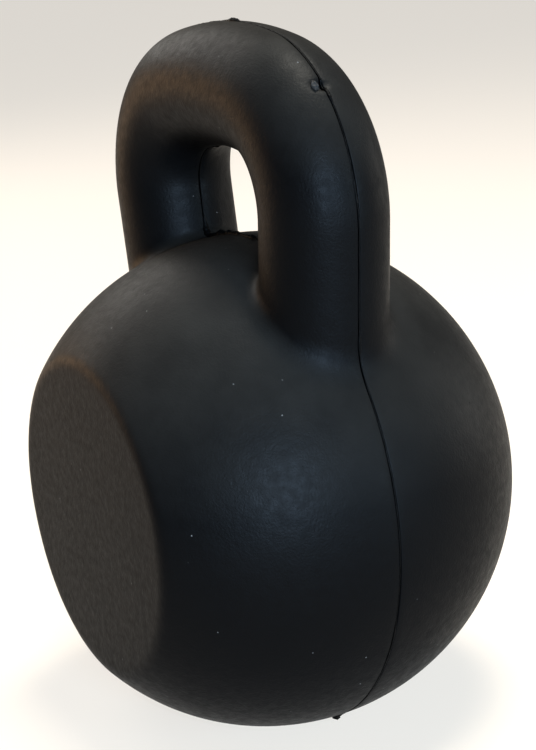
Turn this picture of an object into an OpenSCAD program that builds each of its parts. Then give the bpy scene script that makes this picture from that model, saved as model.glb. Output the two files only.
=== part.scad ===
// Covered kettlebell: an iron ball with a bent steel bar pinned into it, both wrapped in a soft
// moulded cover. The cover is two halves, front and rear, bonded along a seam in the plane of the
// handle. Small plug-in spacers keep the metal centred in the cover.
// Millimetres, +Z up, front towards -Y. The origin is on the floor, under the middle of the ball's
// depth from the front flat to the round back, so the foot's centre stands a little in front of it.

/* [Ball] */
// Diameter of the covered ball
ball_d = 150; // [130:1:200]
// Depth that the front flat is cut into the ball
flat_cut = 16.5; // [12:0.5:24]
// Radius that rounds the edge of the front flat
flat_edge_r = 4; // [2:0.5:6]
// Diameter of the flat foot
base_d = 60; // [45:1:75]

/* [Handle] */
// Diameter of the covered grip
grip_d = 36; // [31:0.5:44]
// Clear height of the window, from the top of the ball to the underside of the grip
window_h = 26.5; // [20:0.5:50]
// Distance from the widest point of the ball in to the outer side of a leg, level with the ball's top
leg_inset = 12.5; // [8:0.5:25]
// Angle that each leg leans out from the vertical
leg_lean = 6.5; // [3:0.5:10]
// Bend radius of the two upper corners, at the middle of the grip
corner_r = 30; // [24:0.5:34]
// Radius of the shallow arch between the corners, at the middle of the grip
crown_r = 112; // [80:1:180]

/* [Cover] */
// Thickness of the cover on the ball
skin = 12; // [9:0.5:15]
// Thickness of cover left over a spacer
skin_over_spacer = 3; // [2.6:0.1:5]
// Width of the bond bead that fills the seam
bead_w = 0.7; // [0.4:0.1:1.5]
// Height of the bead above the surface of the cover
bead_proud = 0.3; // [0.1:0.1:0.8]
// Depth of the bead below the surface of the cover
bead_depth = 1.8; // [1:0.1:2.4]

/* [Core and bar] */
// Diameter of the steel bar in the handle
bar_d = 22; // [18:0.5:25]
// Bend radius where a leg of the bar turns upright to enter the core
ankle_r = 45; // [30:1:80]
// Depth of a leg socket, from the core's surface down its axis
socket_depth = 38; // [28:1:46]
// Clearance around a leg in its socket, on the radius
socket_gap = 0.15; // [0.05:0.05:0.3]
// Gap between the end of a leg and the floor of its socket
socket_floor_gap = 1; // [0.5:0.5:3]
// Diameter of a cross pin
pin_d = 8; // [6:0.5:10]
// Height of a cross pin above the floor of the socket
pin_rise = 14; // [10:1:18]
// Distance that a cross pin reaches past the bar into the rear wall
pin_grip = 12; // [8:1:20]
// Clearance around a cross pin in the bar, on the radius
pin_gap = 0.1; // [0.05:0.05:0.2]

/* [Spacers] */
// Diameter of a spacer's head
spacer_d = 12; // [8:0.5:14]
// Diameter of a spacer's spigot
spigot_d = 5; // [4:0.5:6]
// Length of a spacer's spigot
spigot_len = 6; // [4:0.5:8]
// Radius of the circle that the front spacers stand on
flat_spacer_r = 28; // [24:1:32]
// Angle between a rear spacer and the line through the back of the ball
rear_spacer_tilt = 27; // [20:1:34]
// Radius of the circle that the base spacers stand on
base_spacer_r = 15; // [12:0.5:17]
// Width of a spacer ring on the bar
ring_w = 8; // [6:0.5:10]
// Opening of a spacer ring, where it snaps over the bar
ring_slot = 5; // [3:0.5:8]

/* [Hidden] */
$fn = 96;

ball_r = ball_d / 2;
grip_r = grip_d / 2;
bar_r = bar_d / 2;
flat_y = ball_r - flat_cut;
foot_drop = sqrt(ball_r * ball_r - base_d * base_d / 4);
big = 4 * ball_r;
// Where two lengths of a tube meet, the thinner one steps in by this much and runs this far into
// the thicker one, so their round faces never lie on each other.
step_in = 0.03;
run_in = 0.5;

// Middle line of the handle, as [x, z] from the centre of the ball, for the right-hand side.
// Each leg is a straight line that touches a corner arc, which touches the crown arc.
leg_x = ball_r - leg_inset - grip_r;
leg_along = [sin(leg_lean), cos(leg_lean)];
leg_out = [cos(leg_lean), -sin(leg_lean)];
crown_top = ball_r + window_h + grip_r;
crown_c = [0, crown_top - crown_r];
corner_line = [leg_x, ball_r] - leg_out * corner_r;
corner_b = (corner_line - crown_c) * leg_along;
corner_q = (corner_line - crown_c) * (corner_line - crown_c) - pow(crown_r - corner_r, 2);
corner_c = corner_line + leg_along * (sqrt(corner_b * corner_b - corner_q) - corner_b);
leg_top = corner_c + leg_out * corner_r;
corner_end = atan2(corner_c[1] - crown_c[1], corner_c[0] - crown_c[0]);
crown_span = 180 - 2 * corner_end;

// The core follows the ball's shape at the depth of the cover.
core_r = ball_r - skin;
core_flat_y = flat_y - skin;
core_edge_r = max(1, flat_edge_r - 1);
core_drop = foot_drop - skin;

// Inside the core the bar's legs stand upright, so both can be pushed into their sockets together.
ankle_start_z = sqrt(core_r * core_r - leg_x * leg_x) + 8;
ankle_start = [leg_x, ball_r] - leg_along * ((ball_r - ankle_start_z) / cos(leg_lean));
ankle_c = ankle_start + leg_out * ankle_r;
shank_x = ankle_c[0] - ankle_r;
shank_top = ankle_c[1];
socket_floor = sqrt(core_r * core_r - shank_x * shank_x) - socket_depth;
pin_z = socket_floor + pin_rise;
pin_r = pin_d / 2;
// A pin's front end lies just under the core's surface, all round its rim.
pin_front = sqrt(pow(core_r, 2) - pow(shank_x + pin_r, 2) - pow(pin_z + pin_r, 2)) - 0.5;
pin_rear = bar_r + pin_grip;

// The parts below are drawn about the centre of the ball, and this lifts them onto the foot.
module on_foot() translate([0, (flat_y - ball_r) / 2, foot_drop]) children();

module right_and_left() {
    children();
    mirror([1, 0, 0]) children();
}

// ---- solids that several nodes share ----

// A ball with a flat in front, and a rounded edge on the flat, turned about the Y axis.
module flatted_ball(r, front_y, edge_r) {
    edge_x = sqrt(pow(r - edge_r, 2) - pow(front_y - edge_r, 2));
    edge_a = atan2(front_y - edge_r, edge_x);
    reach = 2 * r;
    rotate([90, 0, 0]) rotate_extrude() {
        intersection() {
            circle(r = r);
            polygon([
                [0, 0], [0, -reach], [reach, -reach], [reach, 0],
                reach * [cos(edge_a), sin(edge_a)]
            ]);
        }
        polygon([[0, -edge_x], [edge_x, front_y - edge_r], [edge_x, front_y], [0, front_y]]);
        translate([edge_x, front_y - edge_r]) circle(r = edge_r);
    }
}

module cut_below(drop) translate([-big, -big, -big - drop]) cube([2 * big, 2 * big, big]);

module bent(centre, r, from, span, tube_r) {
    translate([centre[0], 0, centre[1]]) rotate([90, 0, 0]) rotate([0, 0, from])
        rotate_extrude(angle = span) translate([r, 0]) circle(r = tube_r);
}

module rod(from, angle, len, r) {
    translate([from[0], 0, from[1]]) rotate([0, angle, 0]) cylinder(r = r, h = len);
}

// The corner arcs are the full radius. The crown and the straight lengths step in and run into them.
module arch(tube_r) {
    crown_lap = run_in / crown_r * 180 / PI;
    right_and_left() bent(corner_c, corner_r, -leg_lean, corner_end + leg_lean, tube_r);
    bent(crown_c, crown_r, corner_end - crown_lap, crown_span + 2 * crown_lap, tube_r - step_in);
}

// The straight length of the right leg, from the corner arc down to a given height.
module leg(to_z, lap, tube_r) {
    top = leg_top + leg_along * run_in;
    rod(top, 180 + leg_lean, (top[1] - to_z) / cos(leg_lean) + lap, tube_r);
}

module grip_solid(grow) {
    arch(grip_r + grow);
    right_and_left() leg(ball_r * 0.45, 0, grip_r + grow - step_in);
}

module bar_solid() {
    arch(bar_r);
    right_and_left() {
        leg(ankle_start[1], run_in, bar_r - step_in);
        bent(ankle_c, ankle_r, 180 - leg_lean, leg_lean, bar_r);
        rod([shank_x, shank_top + run_in], 180, shank_top + run_in - socket_floor - socket_floor_gap,
            bar_r - step_in);
    }
}

module core_solid() {
    difference() {
        flatted_ball(core_r, core_flat_y, core_edge_r);
        cut_below(core_drop);
    }
}

// The outside of the cover, moved outwards by a given amount everywhere but at the foot.
module covered_solid(grow) {
    difference() {
        flatted_ball(ball_r + grow, flat_y, flat_edge_r);
        cut_below(foot_drop + min(grow, 0));
    }
    grip_solid(grow);
}

// ---- places of the spacers ----

// Where the core is round, a spacer stands on a small spot face milled into it.
spot_face_r = sqrt(core_r * core_r - pow(spacer_d / 2, 2)) - 0.2;
head_on_flat = skin - skin_over_spacer;
head_on_round = ball_r - skin_over_spacer - spot_face_r;

// Where a spacer stands on the core: [point on its surface, turn that points it outwards, head]
function front_spot(a) = [
    [flat_spacer_r * cos(a), -core_flat_y, flat_spacer_r * sin(a)], [90, 0, 0], head_on_flat
];
function base_spot(a) = [
    [base_spacer_r * cos(a), base_spacer_r * sin(a), -core_drop], [180, 0, 0], head_on_flat
];
function round_spot(tip, turn) = [
    spot_face_r * [sin(turn) * sin(tip), -cos(turn) * sin(tip), cos(tip)], [tip, 0, turn],
    head_on_round
];
function side_spot(side) = round_spot(-90, -90 * side);
// The upper rear spacer tips up, and the lower two tip down by half and turn aside.
rear_half = rear_spacer_tilt / 2;
rear_aside = acos(cos(rear_spacer_tilt) / cos(rear_half));
function rear_spot(side) = side == 0
    ? round_spot(rear_spacer_tilt - 90, 0)
    : round_spot(-rear_half - 90, -rear_aside * side);

SPOTS = concat(
    [for (a = [90, 210, 330]) front_spot(a)],
    [for (a = [90, 210, 330]) base_spot(a)],
    [for (side = [-1, 0, 1]) rear_spot(side)],
    [for (side = [-1, 1]) side_spot(side)]
);

module at_spot(spot) translate(spot[0]) rotate(spot[1]) children();

module spacer(spot) {
    color("#2a2a2b") on_foot() at_spot(spot) {
        cylinder(d = spacer_d, h = spot[2]);
        translate([0, 0, -spigot_len]) cylinder(d = spigot_d, h = spigot_len + spot[2] / 2);
    }
}

// Middle of a spacer ring and the turn of its axis, on the right-hand side or at the crown
leg_ring_z = ball_r * 0.97;
leg_ring = [leg_top - leg_along * ((leg_top[1] - leg_ring_z) / cos(leg_lean)), leg_lean];
corner_ring_a = corner_end / 2;
corner_ring = [corner_c + corner_r * [cos(corner_ring_a), sin(corner_ring_a)], -corner_ring_a];
crown_ring = [[0, crown_top], -90];

module ring_blank(place) {
    translate([place[0][0], 0, place[0][1]]) rotate([0, place[1], 0]) difference() {
        translate([0, 0, -ring_w / 2]) cylinder(r = grip_r - skin_over_spacer, h = ring_w);
        translate([-big, -ring_slot / 2, -ring_w]) cube([big, ring_slot, 2 * ring_w]);
    }
}

module ring(place) {
    difference() {
        ring_blank(place);
        bar_solid();
    }
}

// ---- the nodes ----

module cover_half(side) {
    color("#1b1b1c") on_foot() difference() {
        intersection() {
            covered_solid(0);
            translate([-big, side > 0 ? 0 : -big, -big]) cube([2 * big, big, 2 * big]);
        }
        core_solid();
        bar_solid();
        right_and_left() {
            ring_blank(leg_ring);
            ring_blank(corner_ring);
        }
        ring_blank(crown_ring);
        for (spot = SPOTS) at_spot(spot) cylinder(d = spacer_d, h = spot[2]);
        bead_solid();
    }
}

module bead_solid() {
    difference() {
        intersection() {
            covered_solid(bead_proud);
            cube([2 * big, bead_w, 2 * big], center = true);
        }
        covered_solid(-bead_depth);
        // The two halves meet directly on the foot, so the bead never reaches the floor.
        cut_below(foot_drop - bead_depth);
    }
}

// The bead has two closed loops, and the middle line of the handle runs between them.
module inside_handle() {
    low = leg_top - leg_along * ((leg_top[1] - ball_r * 0.6) / cos(leg_lean));
    mid = corner_c + corner_r * [cos(corner_end / 2), sin(corner_end / 2)];
    end = crown_c + crown_r * [cos(corner_end), sin(corner_end)];
    rotate([90, 0, 0]) linear_extrude(2 * grip_d, center = true) polygon([
        low, leg_top, mid, end, [0, crown_top],
        [-end[0], end[1]], [-mid[0], mid[1]], [-leg_top[0], leg_top[1]], [-low[0], low[1]]
    ]);
}

module cover_front() cover_half(-1);

module cover_rear() cover_half(1);

module bead_outer() color("#0e0e0f") on_foot() difference() {
    bead_solid();
    inside_handle();
}

module bead_window() color("#0e0e0f") on_foot() intersection() {
    bead_solid();
    inside_handle();
}

module core_casting() {
    color("#4c4d50") on_foot() difference() {
        core_solid();
        right_and_left() {
            translate([shank_x, 0, socket_floor]) cylinder(r = bar_r + socket_gap, h = big);
            translate([shank_x, pin_rear, pin_z]) rotate([90, 0, 0]) cylinder(r = pin_r, h = big);
        }
        for (spot = SPOTS) at_spot(spot) {
            translate([0, 0, -spigot_len]) cylinder(d = spigot_d, h = spigot_len);
            if (spot[2] == head_on_round) cylinder(d = spacer_d, h = skin);
        }
    }
}

module handle_bar() {
    color("#8d9094") on_foot() difference() {
        bar_solid();
        right_and_left() translate([shank_x, 0, pin_z]) rotate([90, 0, 0])
            cylinder(r = pin_r + pin_gap, h = 3 * bar_r, center = true);
    }
}

module leg_pin(side) {
    color("#b9bcc0") on_foot() translate([side * shank_x, pin_rear, pin_z]) rotate([90, 0, 0])
        cylinder(r = pin_r, h = pin_rear + pin_front);
}

module ring_node(place, side) {
    color("#2a2a2b") on_foot() mirror([side < 0 ? 1 : 0, 0, 0]) ring(place);
}

cover_front();
cover_rear();
bead_outer();
bead_window();
core_casting();
handle_bar();
leg_pin(-1);  // leg_pin_left
leg_pin(1);  // leg_pin_right
spacer(front_spot(90));  // spacer_front_top
spacer(front_spot(210));  // spacer_front_left
spacer(front_spot(330));  // spacer_front_right
spacer(rear_spot(0));  // spacer_rear_top
spacer(rear_spot(-1));  // spacer_rear_left
spacer(rear_spot(1));  // spacer_rear_right
spacer(base_spot(90));  // spacer_base_rear
spacer(base_spot(210));  // spacer_base_left
spacer(base_spot(330));  // spacer_base_right
spacer(side_spot(-1));  // spacer_side_left
spacer(side_spot(1));  // spacer_side_right
ring_node(leg_ring, -1);  // ring_leg_left
ring_node(corner_ring, -1);  // ring_corner_left
ring_node(crown_ring, 1);  // ring_crown
ring_node(corner_ring, 1);  // ring_corner_right
ring_node(leg_ring, 1);  // ring_leg_right
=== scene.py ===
import math

import bmesh
import bpy
import numpy as np
from mathutils import Matrix, Vector


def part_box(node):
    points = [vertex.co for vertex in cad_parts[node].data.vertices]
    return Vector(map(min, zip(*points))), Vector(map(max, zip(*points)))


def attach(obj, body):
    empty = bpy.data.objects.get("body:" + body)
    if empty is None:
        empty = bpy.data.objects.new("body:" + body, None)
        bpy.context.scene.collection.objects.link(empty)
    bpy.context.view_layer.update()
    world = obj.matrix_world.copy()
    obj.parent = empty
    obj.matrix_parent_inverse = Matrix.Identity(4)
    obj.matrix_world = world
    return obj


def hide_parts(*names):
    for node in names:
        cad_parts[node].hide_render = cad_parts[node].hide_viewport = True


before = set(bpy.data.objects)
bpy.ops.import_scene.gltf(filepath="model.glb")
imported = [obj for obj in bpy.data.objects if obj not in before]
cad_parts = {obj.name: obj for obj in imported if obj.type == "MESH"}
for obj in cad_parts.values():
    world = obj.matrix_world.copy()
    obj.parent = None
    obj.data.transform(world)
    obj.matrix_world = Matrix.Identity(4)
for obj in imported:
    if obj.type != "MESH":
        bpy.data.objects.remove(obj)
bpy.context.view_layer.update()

# ---------------------------------------------------------------- sizes of the cover, in metres

ball_r = 0.075
flat_y = 0.0585         # the front flat, in front of the ball's centre
flat_edge = 0.0016      # how far the rounding of the front flat's edge reaches
foot_r = 0.030
foot_edge = 0.002       # how far the rounding of the foot's edge reaches
foot_drop = -math.sqrt(ball_r ** 2 - foot_r ** 2)
grip_r = 0.018
leg_x = 0.0445          # middle of a leg, level with the ball's top
leg_lean = math.radians(6.5)
leg_start = 0.45        # height in the ball where a leg's middle line begins, in ball radii
corner_r = 0.030
crown_r = 0.112
crown_top = 0.1195      # middle of the grip above the ball's centre
root_fillet = 0.0048    # how far the rounding of a leg's root reaches
skin = 0.012            # thickness of the cover over the core
bar_r = 0.011
# The halves meet in the plane of the ball's centre.
front_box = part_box("cover_front")
ball_centre = Vector((0, front_box[0].y + flat_y, front_box[0].z - foot_drop))

# Middle line of the right half of the handle: a straight leg, a corner arc and half of the crown
# arc. The corner's centre is corner_r inside the leg's line, and the two arcs meet on a tangent.
along = np.array([math.sin(leg_lean), math.cos(leg_lean)])
outward = np.array([math.cos(leg_lean), -math.sin(leg_lean)])
crown_c = np.array([0.0, crown_top - crown_r])
corner_line = np.array([leg_x, ball_r]) - outward * corner_r
from_crown = corner_line - crown_c
reach = from_crown @ along
corner_c = corner_line + along * (
    math.sqrt(reach ** 2 - from_crown @ from_crown + (crown_r - corner_r) ** 2) - reach)
leg_top = corner_c + outward * corner_r
corner_end = math.atan2(corner_c[1] - crown_c[1], corner_c[0] - crown_c[0])
leg_length = (leg_top[1] - ball_r * leg_start) / math.cos(leg_lean)


# ---------------------------------------------------------------- shapes as distance fields

def soft_min(a, b, k):
    """The smaller of two distances, blended where they differ by less than k."""
    h = np.maximum(k - np.abs(a - b), 0) / k
    return np.minimum(a, b) - h * h * k / 4


def soft_max(a, b, k):
    return -soft_min(-a, -b, k)


def off_middle_line(x, z):
    """Distance in the seam's plane from the handle's middle line."""
    far = 1.0           # stands in for an arc beyond its ends
    x = np.abs(x)
    s = np.clip((x - leg_top[0]) * along[0] + (z - leg_top[1]) * along[1], -leg_length, 0)
    leg = np.hypot(x - leg_top[0] - s * along[0], z - leg_top[1] - s * along[1])
    turn = np.arctan2(z - corner_c[1], x - corner_c[0])
    off_corner = np.abs(np.hypot(x - corner_c[0], z - corner_c[1]) - corner_r)
    corner = np.where((turn >= -leg_lean) & (turn <= corner_end), off_corner, far)
    over = np.arctan2(z - crown_c[1], x - crown_c[0])
    off_crown = np.abs(np.hypot(x - crown_c[0], z - crown_c[1]) - crown_r)
    crown = np.where(over >= corner_end, off_crown, far)
    return np.minimum(np.minimum(leg, corner), crown)


# The skin's slight wander is a sum of long waves in all directions.
wave_count = 14
shortest_wave, longest_wave = 0.012, 0.055
wave_height = 0.000016
full_turn = 6.28        # radians
wander = np.random.default_rng(11)
wave_dirs = wander.normal(size=(wave_count, 3))
wave_dirs /= np.linalg.norm(wave_dirs, axis=1)[:, None]
wave_len = wander.uniform(shortest_wave, longest_wave, wave_count)
wave_phase = wander.uniform(0, full_turn, wave_count)


def unevenness(p):
    """How far a hand-finished moulded skin stands in or out, a few hundredths of a millimetre."""
    waves = np.sin(p @ (wave_dirs * (full_turn / wave_len)[:, None]).T + wave_phase)
    return (waves * wave_len / longest_wave).sum(axis=1) * wave_height


# The gate, where the material ran into the mould, is torn out beside the seam on the handle's
# right shoulder.
gate = np.array([0.050, -0.001, 0.122])
gate_r = 0.0019
gate_edge = 0.0006
even_foot = 0.01        # the unevenness fades out over this height above the foot


def cover_field(p):
    """Distance from the outside of the cover. p is measured from the ball's centre."""
    x, y, z = p.T
    ball = np.sqrt(x * x + y * y + z * z) - ball_r
    ball = soft_max(ball, -y - flat_y, flat_edge)
    ball = soft_max(ball, foot_drop - z, foot_edge)
    handle = np.hypot(off_middle_line(x, z), y) - grip_r
    uneven = unevenness(p) * np.clip((z - foot_drop) / even_foot, 0, 1)
    skin_at = soft_min(ball, handle, root_fillet) + uneven
    return soft_max(skin_at, gate_r - np.linalg.norm(p - gate, axis=1), gate_edge)


def hollow_field(p):
    """Distance from the metal inside the cover: the core and the bar."""
    x, y, z = p.T
    core = np.maximum(np.sqrt(x * x + y * y + z * z) - ball_r + skin, -y - flat_y + skin)
    core = np.maximum(core, foot_drop + skin - z)
    bar = np.hypot(off_middle_line(x, z), y) - bar_r
    return np.minimum(core, bar)


def slope(field, p, nudge=2e-5):
    """The direction in which a field grows, at each point."""
    g = np.empty_like(p)
    for axis in range(3):
        d = np.zeros(3)
        d[axis] = nudge
        g[:, axis] = (field(p + d) - field(p - d)) / (2 * nudge)
    return g


def settle(field, p, in_plane=False, rounds=4):
    """Moves points onto the field's zero surface, or along the seam's plane to it."""
    least_slope = 1e-6
    for _ in range(rounds):
        g = slope(field, p)
        if in_plane:
            g[:, 1] = 0
        p = p - g * (field(p) / np.maximum((g * g).sum(axis=1), least_slope))[:, None]
    return p


# ---------------------------------------------------------------- the cover's two halves

# The grid that holds one half: out to either side, out from the seam, and its lowest and highest
grid_side = 0.081
grid_out = 0.080
grid_low, grid_high = -0.0765, 0.1450
outer_step, inner_step = 0.0013, 0.0024
ease_rounds = 4
ease_skin, ease_rim = 0.6, 0.5

seam_gap = 0.00026      # half the slot between the halves
rim_round = 0.00034     # rounding of a half's edge beside the slot
slot_depth = 0.0022


def cell_points(value, origin, step):
    """A point in each grid cell that the surface passes through, and each cell's point number."""
    cell_shape = tuple(n - 1 for n in value.shape)
    total = np.zeros(cell_shape + (3,))
    count = np.zeros(cell_shape)

    def at_corner(corner):
        return value[tuple(slice(corner[i], corner[i] + cell_shape[i]) for i in range(3))]

    for a in np.ndindex(2, 2, 2):
        for axis in range(3):
            if a[axis]:
                continue
            b = tuple(a[i] + (i == axis) for i in range(3))
            va, vb = at_corner(a), at_corner(b)
            crossing = (va < 0) != (vb < 0)
            t = np.where(crossing, va / np.where(crossing, va - vb, 1), 0)
            for i in range(3):
                total[..., i] += np.where(crossing, a[i] + (t if i == axis else 0), 0)
            count += crossing
    used = count > 0
    number = np.full(cell_shape, -1)
    number[used] = np.arange(used.sum())
    return origin + (np.argwhere(used) + total[used] / count[used][:, None]) * step, number


def edge_quads(inside, number):
    """A quad for each grid edge that the surface crosses, from the four cells round that edge."""
    quads = []
    for axis in range(3):
        u, v = [i for i in range(3) if i != axis]
        low = [slice(1, n - 1) for n in inside.shape]
        low[axis] = slice(0, inside.shape[axis] - 1)
        high = list(low)
        high[axis] = slice(1, inside.shape[axis])
        for index in np.argwhere(inside[tuple(low)] != inside[tuple(high)]):
            c = index + [0 if i == axis else 1 for i in range(3)]
            ring = []
            for du, dv in ((-1, -1), (0, -1), (0, 0), (-1, 0)):
                d = c.copy()
                d[u] += du
                d[v] += dv
                ring.append(number[tuple(d)])
            quads.append(ring)
    return np.array(quads)


def ordered_loops(pairs):
    """Chains the edges of the opening into loops of points, the longest first."""
    beside = {}
    for a, b in pairs:
        beside.setdefault(int(a), []).append(int(b))
        beside.setdefault(int(b), []).append(int(a))
    loops, seen = [], set()
    for first in beside:
        if first in seen:
            continue
        loop, before, here = [], None, first
        while here not in seen:
            seen.add(here)
            loop.append(here)
            ahead = [k for k in beside[here] if k != before and k not in seen]
            before = here
            here = ahead[0] if ahead else here
        loops.append(np.array(loop))
    return sorted(loops, key=len, reverse=True)


def skin_over(field, side, step, start_y):
    """Quads over one half of a field's surface, open at the plane side * start_y.
    Returns the points, the quads and the ordered loops of points round the opening."""
    def placed(q):
        return np.column_stack([q[:, 0], side * q[:, 1], q[:, 2]])

    xs = np.arange(-grid_side, grid_side, step)
    ys = start_y + np.arange(0, grid_out, step)
    zs = np.arange(grid_low, grid_high, step)
    grid = np.stack(np.meshgrid(xs, ys, zs, indexing="ij"), axis=-1).reshape(-1, 3)
    value = field(placed(grid)).reshape(len(xs), len(ys), len(zs))
    points, number = cell_points(value, grid[0], step)
    met, quads = np.unique(edge_quads(value < 0, number), return_inverse=True)
    points, quads = points[met], quads.reshape(-1, 4)
    edges = np.sort(np.concatenate([quads[:, [i, (i + 1) % 4]] for i in range(4)]), axis=1)
    pairs, uses = np.unique(edges, axis=0, return_counts=True)
    rim_pairs = pairs[uses == 1]
    loops = ordered_loops(rim_pairs)
    on_rim = np.zeros(len(points), bool)
    on_rim[rim_pairs.ravel()] = True
    points[on_rim, 1] = start_y
    # The points are evened out and put back on the surface, the rim's within its own plane.
    for _ in range(ease_rounds):
        around = np.zeros_like(points)
        n = np.zeros(len(points))
        np.add.at(around, pairs[:, 0], points[pairs[:, 1]])
        np.add.at(around, pairs[:, 1], points[pairs[:, 0]])
        np.add.at(n, pairs.ravel(), 1)
        eased = points + ease_skin * (around / n[:, None] - points)
        for loop in loops:
            eased[loop] = points[loop] + ease_rim * (
                (points[np.roll(loop, 1)] + points[np.roll(loop, -1)]) / 2 - points[loop])
        world = placed(eased)
        world[~on_rim] = settle(field, world[~on_rim], rounds=2)
        world[on_rim] = settle(field, world[on_rim], in_plane=True, rounds=3)
        points = placed(world)
        points[on_rim, 1] = start_y
    return placed(points), quads, loops


def into_scene(name, data):
    made = bpy.data.objects.new(name, data)
    bpy.context.scene.collection.objects.link(made)
    return made


def finished_piece(name, mesh):
    """A smooth piece from a bmesh, its faces pointing outwards."""
    bmesh.ops.recalc_face_normals(mesh, faces=mesh.faces)
    data = bpy.data.meshes.new(name)
    mesh.to_mesh(data)
    mesh.free()
    data.shade_smooth()
    return into_scene(name, data)


def add_quads(mesh, points, quads):
    made = [mesh.verts.new(p) for p in points]
    for q in quads:
        mesh.faces.new([made[i] for i in q])
    return made


def ring_edges(mesh, ring):
    return [mesh.edges.get((ring[i], ring[(i + 1) % len(ring)])) for i in range(len(ring))]


def cover_half(name, side):
    """One half of the cover. Returns the piece and the two longest paths along its open edge."""
    points, quads, loops = skin_over(cover_field, side, outer_step, seam_gap + rim_round)
    paths = [points[loop] for loop in loops[:2]]
    mesh = bmesh.new()
    made = add_quads(mesh, points, quads)
    # The edge beside the seam turns in over a small radius, then runs down the slot.
    lip = []
    for loop in loops:
        at = points[loop]
        g = slope(cover_field, at)
        g[:, 1] = 0
        g /= np.linalg.norm(g, axis=1)[:, None]
        ring = [made[i] for i in loop]
        for turn, drop in ((30, 0), (60, 0), (90, 0), (90, slot_depth)):
            a = math.radians(turn)
            q = at - g * (rim_round * (1 - math.cos(a)) + drop)
            q[:, 1] = side * (seam_gap + rim_round * (1 - math.sin(a)))
            below = [mesh.verts.new(p) for p in q]
            for i in range(len(ring)):
                j = (i + 1) % len(ring)
                mesh.faces.new([ring[i], ring[j], below[j], below[i]])
            ring = below
        lip += ring_edges(mesh, ring)
    # The inside lies on the metal, and the flat bond face joins it to the outside.
    inner, inner_quads, inner_loops = skin_over(hollow_field, side, inner_step, seam_gap)
    made = add_quads(mesh, inner, inner_quads)
    for loop in inner_loops:
        lip += ring_edges(mesh, [made[i] for i in loop])
    bmesh.ops.triangle_fill(mesh, use_beauty=True, edges=[e for e in lip if e])
    bmesh.ops.translate(mesh, verts=mesh.verts, vec=ball_centre)
    return finished_piece(name, mesh), paths


front, seam_paths = cover_half("front_cover_skin", -1)
rear, _ = cover_half("rear_cover_skin", 1)


# ---------------------------------------------------------------- the bond line and the torn gate

# Where the line swells: its place (x, z) in millimetres from the ball's centre, its reach in
# millimetres, and the thickness that it adds, in thicknesses of the plain line
outer_swells = (
    ((2, 137), 2.5, 4.5),       # peak on top of the handle
    ((38, 131), 2, 1.5),        # tear on the way down to the right shoulder
    ((50, 122), 2, 2),          # at the gate
    ((53, 119), 2, 2),          # tear below the gate
    ((60, 52), 2, 2),           # lump below the step aside, low on the right leg
    ((34, -67), 2.5, 6),        # flash tip beside the foot
)
window_swells = (
    ((-25, 73), 4.5, 3.5),      # ridge over the ball's top, from the left leg
    ((-16, 74), 6, 5),
    ((-6, 75), 4.5, 4.5),
    ((4, 75), 4, 3.5),          # and to just past the middle
    ((-14, 101), 1.5, 3),       # nub under the grip
)
line_r = 0.00023
line_step = 0.0005
line_ragged = 0.00026
line_sink = 0.00010             # how far the line's middle lies under the skin
flash_end = 0.0014              # how far above the foot the outer line ends
line_wander = 5                 # how much more the line wanders than the skin does
wander_pitch, wander_shift = 1.7, 0.02
# Low on the right leg the outer line steps aside a little.
aside, aside_z, aside_reach, aside_from_x = 0.00022, 0.060, 0.009, 0.05


def line_path(name, loop, swells, closed):
    """The seam's line as edges, with a swell attribute, just under the skin's surface."""
    points = loop.copy()
    points[:, 1] = 0
    points = settle(cover_field, points, in_plane=True)
    if not closed:
        above = points[:, 2] > foot_drop + flash_end
        first = next(i for i in range(len(points)) if above[i] and not above[i - 1])
        points, above = np.roll(points, -first, axis=0), np.roll(above, -first)
        points = points[:np.argmin(above)]
    swell = np.ones(len(points))
    for (x, z), spread, extra in swells:
        off = np.hypot(points[:, 0] * 1000 - x, points[:, 2] * 1000 - z)
        swell += extra * np.exp(-(off / spread) ** 2)
    out = slope(cover_field, points)
    points = points - out * line_sink
    points[:, 1] = unevenness(points * wander_pitch + wander_shift) * line_wander
    beside = np.exp(-((points[:, 2] - aside_z) / aside_reach) ** 2)
    points[:, 1] -= aside * beside * (points[:, 0] > aside_from_x)
    edges = [(i, i + 1) for i in range(len(points) - 1)]
    if closed:
        edges.append((len(points) - 1, 0))
    data = bpy.data.meshes.new(name)
    data.from_pydata([Vector(p) + ball_centre for p in points], edges, [])
    data.attributes.new("swell", "FLOAT", "POINT").data.foreach_set(
        "value", swell.astype(np.float32))
    return into_scene(name, data)


def add(tree, kind, links=None, **settings):
    """A node with its settings, and its inputs given as values or as (node, output)."""
    node = tree.nodes.new(kind)
    for key, value in settings.items():
        setattr(node, key, value)
    for key, value in (links or {}).items():
        socket = node.inputs[key]
        if isinstance(value, tuple) and isinstance(value[0], bpy.types.Node):
            tree.links.new(value[0].outputs[value[1]], socket)
        else:
            socket.default_value = value
    return node


def worked(tree, operation, a, b, **settings):
    """The result of a Math node on two values, as (node, output)."""
    return add(tree, "ShaderNodeMath", {0: a, 1: b}, operation=operation, **settings), 0


def ranged(tree, value, low, high, to_low, to_high):
    """A value's range from low to high, spread from to_low to to_high, as (node, output)."""
    return add(tree, "ShaderNodeMapRange", {
        "Value": value, "From Min": low, "From Max": high,
        "To Min": to_low, "To Max": to_high}), "Result"


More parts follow.
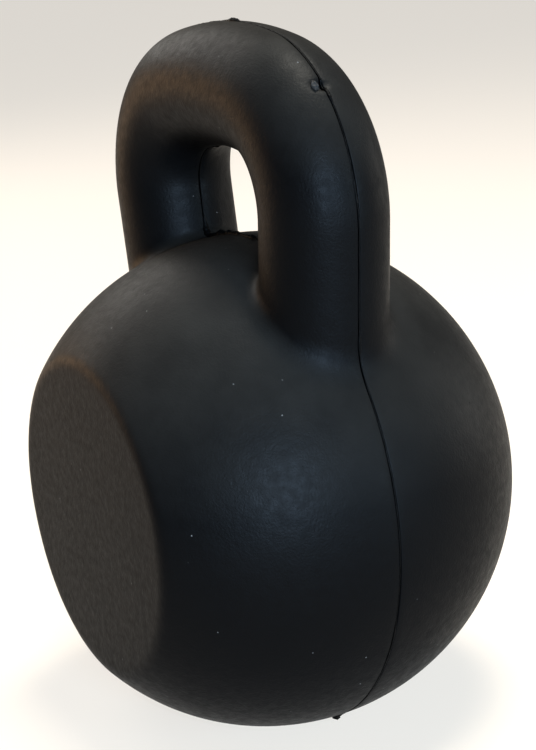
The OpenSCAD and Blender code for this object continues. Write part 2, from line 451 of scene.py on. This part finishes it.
def bond_line_tree():
    """A ragged bead along a path: thicker where the path swells, uneven all along."""
    tree = bpy.data.node_groups.new("ragged_bond_line", "GeometryNodeTree")
    for label, kind in (("Path", "Geometry"), ("Bead Radius", "Float"), ("Ring Spacing", "Float"),
                        ("Raggedness", "Float"), ("Seed", "Float"), ("Finish", "Material")):
        tree.interface.new_socket(label, in_out="INPUT", socket_type="NodeSocket" + kind)
    tree.interface.new_socket("Bead", in_out="OUTPUT", socket_type="NodeSocketGeometry")
    given = add(tree, "NodeGroupInput")
    line = add(tree, "GeometryNodeMeshToCurve", {"Mesh": (given, "Path")})
    even = add(tree, "GeometryNodeResampleCurve", {
        "Curve": (line, "Curve"), "Length": (given, "Ring Spacing")}, mode="LENGTH")
    swell = add(tree, "GeometryNodeInputNamedAttribute", {"Name": "swell"}, data_type="FLOAT")
    lumps = add(tree, "ShaderNodeTexNoise", {
        "W": (given, "Seed"), "Scale": 420.0, "Detail": 3.0}, noise_dimensions="4D")
    uneven = ranged(tree, (lumps, 0), 0.25, 0.75, 0.35, 1.35)
    thick = worked(tree, "MULTIPLY", (swell, "Attribute"), uneven)
    radius = worked(tree, "MULTIPLY", thick, (given, "Bead Radius"))
    section = add(tree, "GeometryNodeCurvePrimitiveCircle", {"Resolution": 8, "Radius": 1.0})
    bead = add(tree, "GeometryNodeCurveToMesh", {
        "Curve": (even, "Curve"), "Profile Curve": (section, "Curve"), "Scale": radius,
        "Fill Caps": True})
    torn = add(tree, "ShaderNodeTexNoise", {
        "W": (given, "Seed"), "Scale": 1300.0, "Detail": 2.0}, noise_dimensions="4D")
    middle = add(tree, "ShaderNodeVectorMath", {0: (torn, "Color"), 1: (0.5, 0.5, 0.5)},
                 operation="SUBTRACT")
    amount = worked(tree, "MULTIPLY", (given, "Raggedness"), (swell, "Attribute"))
    shift = add(tree, "ShaderNodeVectorMath", {0: (middle, 0), "Scale": amount},
                operation="SCALE")
    ragged = add(tree, "GeometryNodeSetPosition", {
        "Geometry": (bead, "Mesh"), "Offset": (shift, 0)})
    smooth = add(tree, "GeometryNodeSetShadeSmooth", {"Geometry": (ragged, "Geometry")})
    real = add(tree, "GeometryNodeRealizeInstances", {"Geometry": (smooth, "Geometry")})
    done = add(tree, "GeometryNodeSetMaterial", {
        "Geometry": (real, "Geometry"), "Material": (given, "Finish")})
    add(tree, "NodeGroupOutput", {"Bead": (done, "Geometry")})
    return tree


def grown(path, tree, inputs):
    """Runs a node tree on a path and returns the result as a plain piece of the same name."""
    modifier = path.modifiers.new("line", "NODES")
    modifier.node_group = tree
    for item in tree.interface.items_tree:
        if item.in_out == "INPUT" and item.name in inputs:
            modifier[item.identifier] = inputs[item.name]
    seen = path.evaluated_get(bpy.context.evaluated_depsgraph_get())
    made = bpy.data.meshes.new_from_object(seen)
    path.modifiers.remove(modifier)
    mesh = bmesh.new()
    mesh.from_mesh(made)
    bmesh.ops.recalc_face_normals(mesh, faces=mesh.faces)
    mesh.to_mesh(made)
    mesh.free()
    made.shade_smooth()
    old = path.data
    path.data = made
    made.name = path.name
    bpy.data.meshes.remove(old)
    return path


# The crumb's half sizes: along the handle, across the seam and out from the skin
crumb_long, crumb_wide, crumb_high = 0.00150, 0.00095, 0.00085
crumb_sink = 0.00015            # how far its middle lies under the skin
crumb_front = 0.0016            # how far its middle lies in front of the seam
lump_count, lump_pitch, lump_height = 10, 4.5, 0.5


def torn_gate(name):
    """A crumb of torn material that stands in the gate's pit, with a ragged lip."""
    out = np.array([gate[0] - corner_c[0], gate[1], gate[2] - corner_c[1]])
    out /= np.linalg.norm(out)
    centre = np.array([corner_c[0], 0, corner_c[1]]) + out * (corner_r + grip_r)
    mesh = bmesh.new()
    bmesh.ops.create_icosphere(mesh, subdivisions=4, radius=1)
    lumps = np.random.default_rng(5)
    dirs = lumps.normal(size=(lump_count, 3)) * lump_pitch
    phase = lumps.uniform(0, full_turn, lump_count)
    across = np.array((0, 1, 0))
    side = np.cross(out, across)
    for v in mesh.verts:
        p = np.array(v.co)
        p = p * (1 + lump_height * (np.sin(dirs @ p + phase).sum() / lump_count))
        v.co = Vector(centre - out * crumb_sink + side * p[0] * crumb_long
                      + out * p[2] * crumb_high
                      + across * (p[1] * crumb_wide - crumb_front)) + ball_centre
    return finished_piece(name, mesh)


# ---------------------------------------------------------------- materials

# Noise scales, in lumps to the metre
cloud_scale, coarse_scale, grain_scale = 38.0, 420.0, 1500.0
speck_colour = (0.080, 0.076, 0.070, 1)
# The pinholes' colour is painted shade, darker than the skin around them.
painted_pit_shade_colour = (0.0008, 0.0008, 0.0008, 1)


def new_material(name):
    made = bpy.data.materials.new(name)
    made.use_nodes = True
    tree = made.node_tree
    tree.nodes.clear()
    return made, tree


def mixed(tree, factor, a, b):
    """A colour from a to b, as (node, output). 6, 7 and 2 are a Mix node's colour sockets."""
    return add(tree, "ShaderNodeMix", {"Factor": factor, 6: a, 7: b}, data_type="RGBA"), 2


def moulded_rubber(name, base, dust_and_top_light_colour):
    """Black moulded skin: fine grain, cloudy tone, specks, pinholes with painted shade, and
    upward faces greyed partly by dustiness and partly by painted top light.
    """
    made, tree = new_material(name)
    where = (add(tree, "ShaderNodeTexCoord"), "Object")
    cloud = add(tree, "ShaderNodeTexNoise", {
        "Vector": where, "Scale": cloud_scale, "Detail": 4.0, "Roughness": 0.6})
    grain = add(tree, "ShaderNodeTexNoise", {
        "Vector": where, "Scale": grain_scale, "Detail": 2.0, "Roughness": 0.6})
    coarse = add(tree, "ShaderNodeTexNoise", {
        "Vector": where, "Scale": coarse_scale, "Detail": 3.0, "Roughness": 0.55})
    facing = add(tree, "ShaderNodeNewGeometry")
    upward = add(tree, "ShaderNodeSeparateXYZ", {"Vector": (facing, "Normal")})
    # Upward faces turn greyer: partly settled dustiness, partly painted light from above.
    facing_up_share = ranged(tree, (upward, "Z"), 0.15, 1.0, 0.03, 1.0)
    tone = ranged(tree, (cloud, 0), 0.3, 0.7, 0.55, 1.2)
    dust_and_top_light_share = worked(tree, "MULTIPLY", facing_up_share, tone, use_clamp=True)
    colour = mixed(tree, dust_and_top_light_share, base, dust_and_top_light_colour)

    def dots(scale, radius, share):
        """Round dots of a radius in metres, in a share of the cells of 1 / scale metres."""
        cell = add(tree, "ShaderNodeTexVoronoi", {"Vector": where, "Scale": scale})
        edge = radius * scale
        dot = ranged(tree, (cell, "Distance"), edge * 0.6, edge, 1.0, 0.0)
        parts = add(tree, "ShaderNodeSeparateColor", {"Color": (cell, "Color")})
        picked = worked(tree, "LESS_THAN", (parts, "Red"), share)
        return worked(tree, "MULTIPLY", dot, picked)

    specks = dots(scale=170.0, radius=0.00026, share=0.45)
    speckled = mixed(tree, specks, colour, speck_colour)
    # The pinholes are dented in the bump and also painted darker: painted shade in the pits.
    holes = dots(scale=85.0, radius=0.00048, share=0.16)
    pit_shaded = mixed(tree, holes, speckled, painted_pit_shade_colour)
    rough = ranged(tree, (coarse, 0), 0.3, 0.7, 0.39, 0.52)
    height = worked(tree, "ADD", (grain, 0), (coarse, 0))
    sunk = worked(tree, "SUBTRACT", height, holes)
    bump = add(tree, "ShaderNodeBump", {"Height": sunk, "Strength": 0.60, "Distance": 0.00013})
    shader = add(tree, "ShaderNodeBsdfPrincipled", {
        "Base Color": pit_shaded, "Roughness": rough, "Normal": (bump, "Normal"),
        "Specular IOR Level": 0.032})
    add(tree, "ShaderNodeOutputMaterial", {"Surface": (shader, "BSDF")})
    return made


def plain_metal(name, colour, rough, scale, metallic=1.0):
    """Metal, or plastic where metallic is 0, with a grain that shows in its roughness."""
    made, tree = new_material(name)
    place = add(tree, "ShaderNodeTexCoord")
    grain = add(tree, "ShaderNodeTexNoise", {
        "Vector": (place, "Object"), "Scale": scale, "Detail": 5.0})
    uneven = ranged(tree, (grain, "Fac"), 0.0, 1.0, rough - 0.1, rough + 0.1)
    bump = add(tree, "ShaderNodeBump", {
        "Height": (grain, "Fac"), "Strength": 0.3, "Distance": 0.0002})
    shader = add(tree, "ShaderNodeBsdfPrincipled", {
        "Base Color": colour, "Metallic": metallic, "Roughness": uneven,
        "Normal": (bump, "Normal")})
    add(tree, "ShaderNodeOutputMaterial", {"Surface": (shader, "BSDF")})
    return made


# The second colour is laid on upward faces: partly dustiness, partly painted top light.
rubber = moulded_rubber("moulded_black_rubber", base=(0.0011, 0.0011, 0.0012, 1),
                        dust_and_top_light_colour=(0.0140, 0.0128, 0.0110, 1))
bond = moulded_rubber("bond_line_rubber", base=(0.0006, 0.0006, 0.0006, 1),
                      dust_and_top_light_colour=(0.002, 0.002, 0.002, 1))
torn_rubber = moulded_rubber("torn_gate_rubber", base=(0.012, 0.0115, 0.011, 1),
                             dust_and_top_light_colour=(0.03, 0.028, 0.026, 1))
iron = plain_metal("cast_iron_core", (0.10, 0.10, 0.105, 1), rough=0.65, scale=900.0,
                   metallic=0.7)
steel = plain_metal("drawn_steel_bar", (0.42, 0.42, 0.43, 1), rough=0.38, scale=500.0)
pin_steel = plain_metal("ground_steel_pin", (0.55, 0.55, 0.56, 1), rough=0.25, scale=700.0)
spacer_plastic = plain_metal("black_spacer_plastic", (0.03, 0.03, 0.032, 1), rough=0.5,
                             scale=800.0, metallic=0.0)
# Each CAD node's finish, by a word in its name
finishes = {"core": iron, "bar": steel, "pin": pin_steel, "bead": bond, "cover": rubber,
            "spacer": spacer_plastic, "ring": spacer_plastic}


def coat(piece, material):
    piece.data.materials.clear()
    piece.data.materials.append(material)


for node_name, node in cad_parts.items():
    coat(node, next(finish for word, finish in finishes.items() if word in node_name))

for piece, node_name in ((front, "cover_front"), (rear, "cover_rear")):
    coat(piece, rubber)
    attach(piece, "root")
    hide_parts(node_name)

line_tree = bond_line_tree()
for name, loop, swells, closed, seed, node_name in (
        ("outer_bond_line", seam_paths[0], outer_swells, False, 3.0, "bead_outer"),
        ("window_bond_line", seam_paths[1], window_swells, True, 8.0, "bead_window")):
    line = grown(line_path(name, loop, swells, closed), line_tree, {
        "Bead Radius": line_r, "Ring Spacing": line_step, "Raggedness": line_ragged,
        "Seed": seed, "Finish": bond})
    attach(line, "root")
    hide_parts(node_name)

scar = torn_gate("torn_gate_crumb")
coat(scar, torn_rubber)
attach(scar, "root")

# ---------------------------------------------------------------- floor, light and camera

floor_half = 9
floor_mesh = bpy.data.meshes.new("studio_floor")
floor_mesh.from_pydata([(-floor_half, -floor_half, 0), (floor_half, -floor_half, 0),
                        (floor_half, floor_half, 0), (-floor_half, floor_half, 0)],
                       [], [(0, 1, 2, 3)])
floor = into_scene("studio_floor", floor_mesh)
floor_paint, floor_tree = new_material("pale_floor")
# The floor glows a little of its own, so that it is evenly pale.
floor_shader = add(floor_tree, "ShaderNodeBsdfPrincipled", {
    "Base Color": (0.25, 0.22, 0.185, 1), "Roughness": 0.9, "Specular IOR Level": 0.1,
    "Emission Color": (1.0, 0.96, 0.90, 1), "Emission Strength": 0.66})
add(floor_tree, "ShaderNodeOutputMaterial", {"Surface": (floor_shader, "BSDF")})
coat(floor, floor_paint)

world = bpy.data.worlds.new("studio")
world.use_nodes = True
sky = world.node_tree.nodes["Background"]
sky.inputs["Color"].default_value = (1.0, 0.97, 0.93, 1)
sky.inputs["Strength"].default_value = 0.18
bpy.context.scene.world = world
bpy.context.scene.view_settings.view_transform = "Standard"


def away_from_ball(azimuth, elevation):
    """The direction from the ball's centre at an angle round it and up, in radians."""
    return Vector((math.sin(azimuth) * math.cos(elevation),
                   -math.cos(azimuth) * math.cos(elevation), math.sin(elevation)))


# Square soft boxes that look at the ball: azimuth and elevation in degrees, distance and size in
# metres, power in watts, and colour
for name, azimuth, elevation, distance, size, power, colour in (
        ("window_light", 71, 12, 1.3, 0.55, 52, (0.50, 0.72, 1.0)),
        ("side_window", 115, 10, 1.3, 0.50, 12, (0.60, 0.82, 1.0)),
        ("far_side", 172, 4, 1.4, 0.70, 7, (1.0, 0.96, 0.88)),
        ("ceiling_light", 185, 80, 1.3, 0.45, 30, (1.0, 0.96, 0.86)),
        ("left_wall", -80, 36, 1.4, 0.90, 12, (1.0, 0.96, 0.90)),
        ("warm_bounce", -60, 3, 1.4, 0.80, 12, (1.0, 0.62, 0.34))):
    away = away_from_ball(math.radians(azimuth), math.radians(elevation))
    light = bpy.data.lights.new(name, "AREA")
    light.size = size
    light.energy = power
    light.color = colour
    lamp = into_scene(name, light)
    lamp.location = ball_centre + away * distance
    lamp.rotation_euler = away.to_track_quat("Z", "Y").to_euler()

camera_azimuth, camera_elevation = math.radians(62.09), math.radians(18.15)
camera_roll = math.radians(-4.38)
camera_distance = 7.2294 * ball_r
lens, sensor = 84.9, 36         # millimetres
back = away_from_ball(camera_azimuth, camera_elevation)
right = Vector((math.cos(camera_azimuth), math.sin(camera_azimuth), 0))
up = back.cross(right)
turned = (right * math.cos(camera_roll) + up * math.sin(camera_roll),
          up * math.cos(camera_roll) - right * math.sin(camera_roll), back)
# The ball's centre, seen in the camera's own axes: a little left of the middle and below it
aim = Vector((-0.00099, -0.03113, -camera_distance))
axes = Matrix(turned).transposed() @ aim.rotation_difference(Vector((0, 0, -1))).to_matrix()
camera = into_scene("camera", bpy.data.cameras.new("camera"))
camera.data.lens = lens
camera.data.sensor_width = sensor
camera.data.sensor_fit = "AUTO"
camera.data.clip_start = 0.01
camera.matrix_world = Matrix.Translation(ball_centre + back * camera_distance) @ axes.to_4x4()
bpy.context.scene.camera = camera
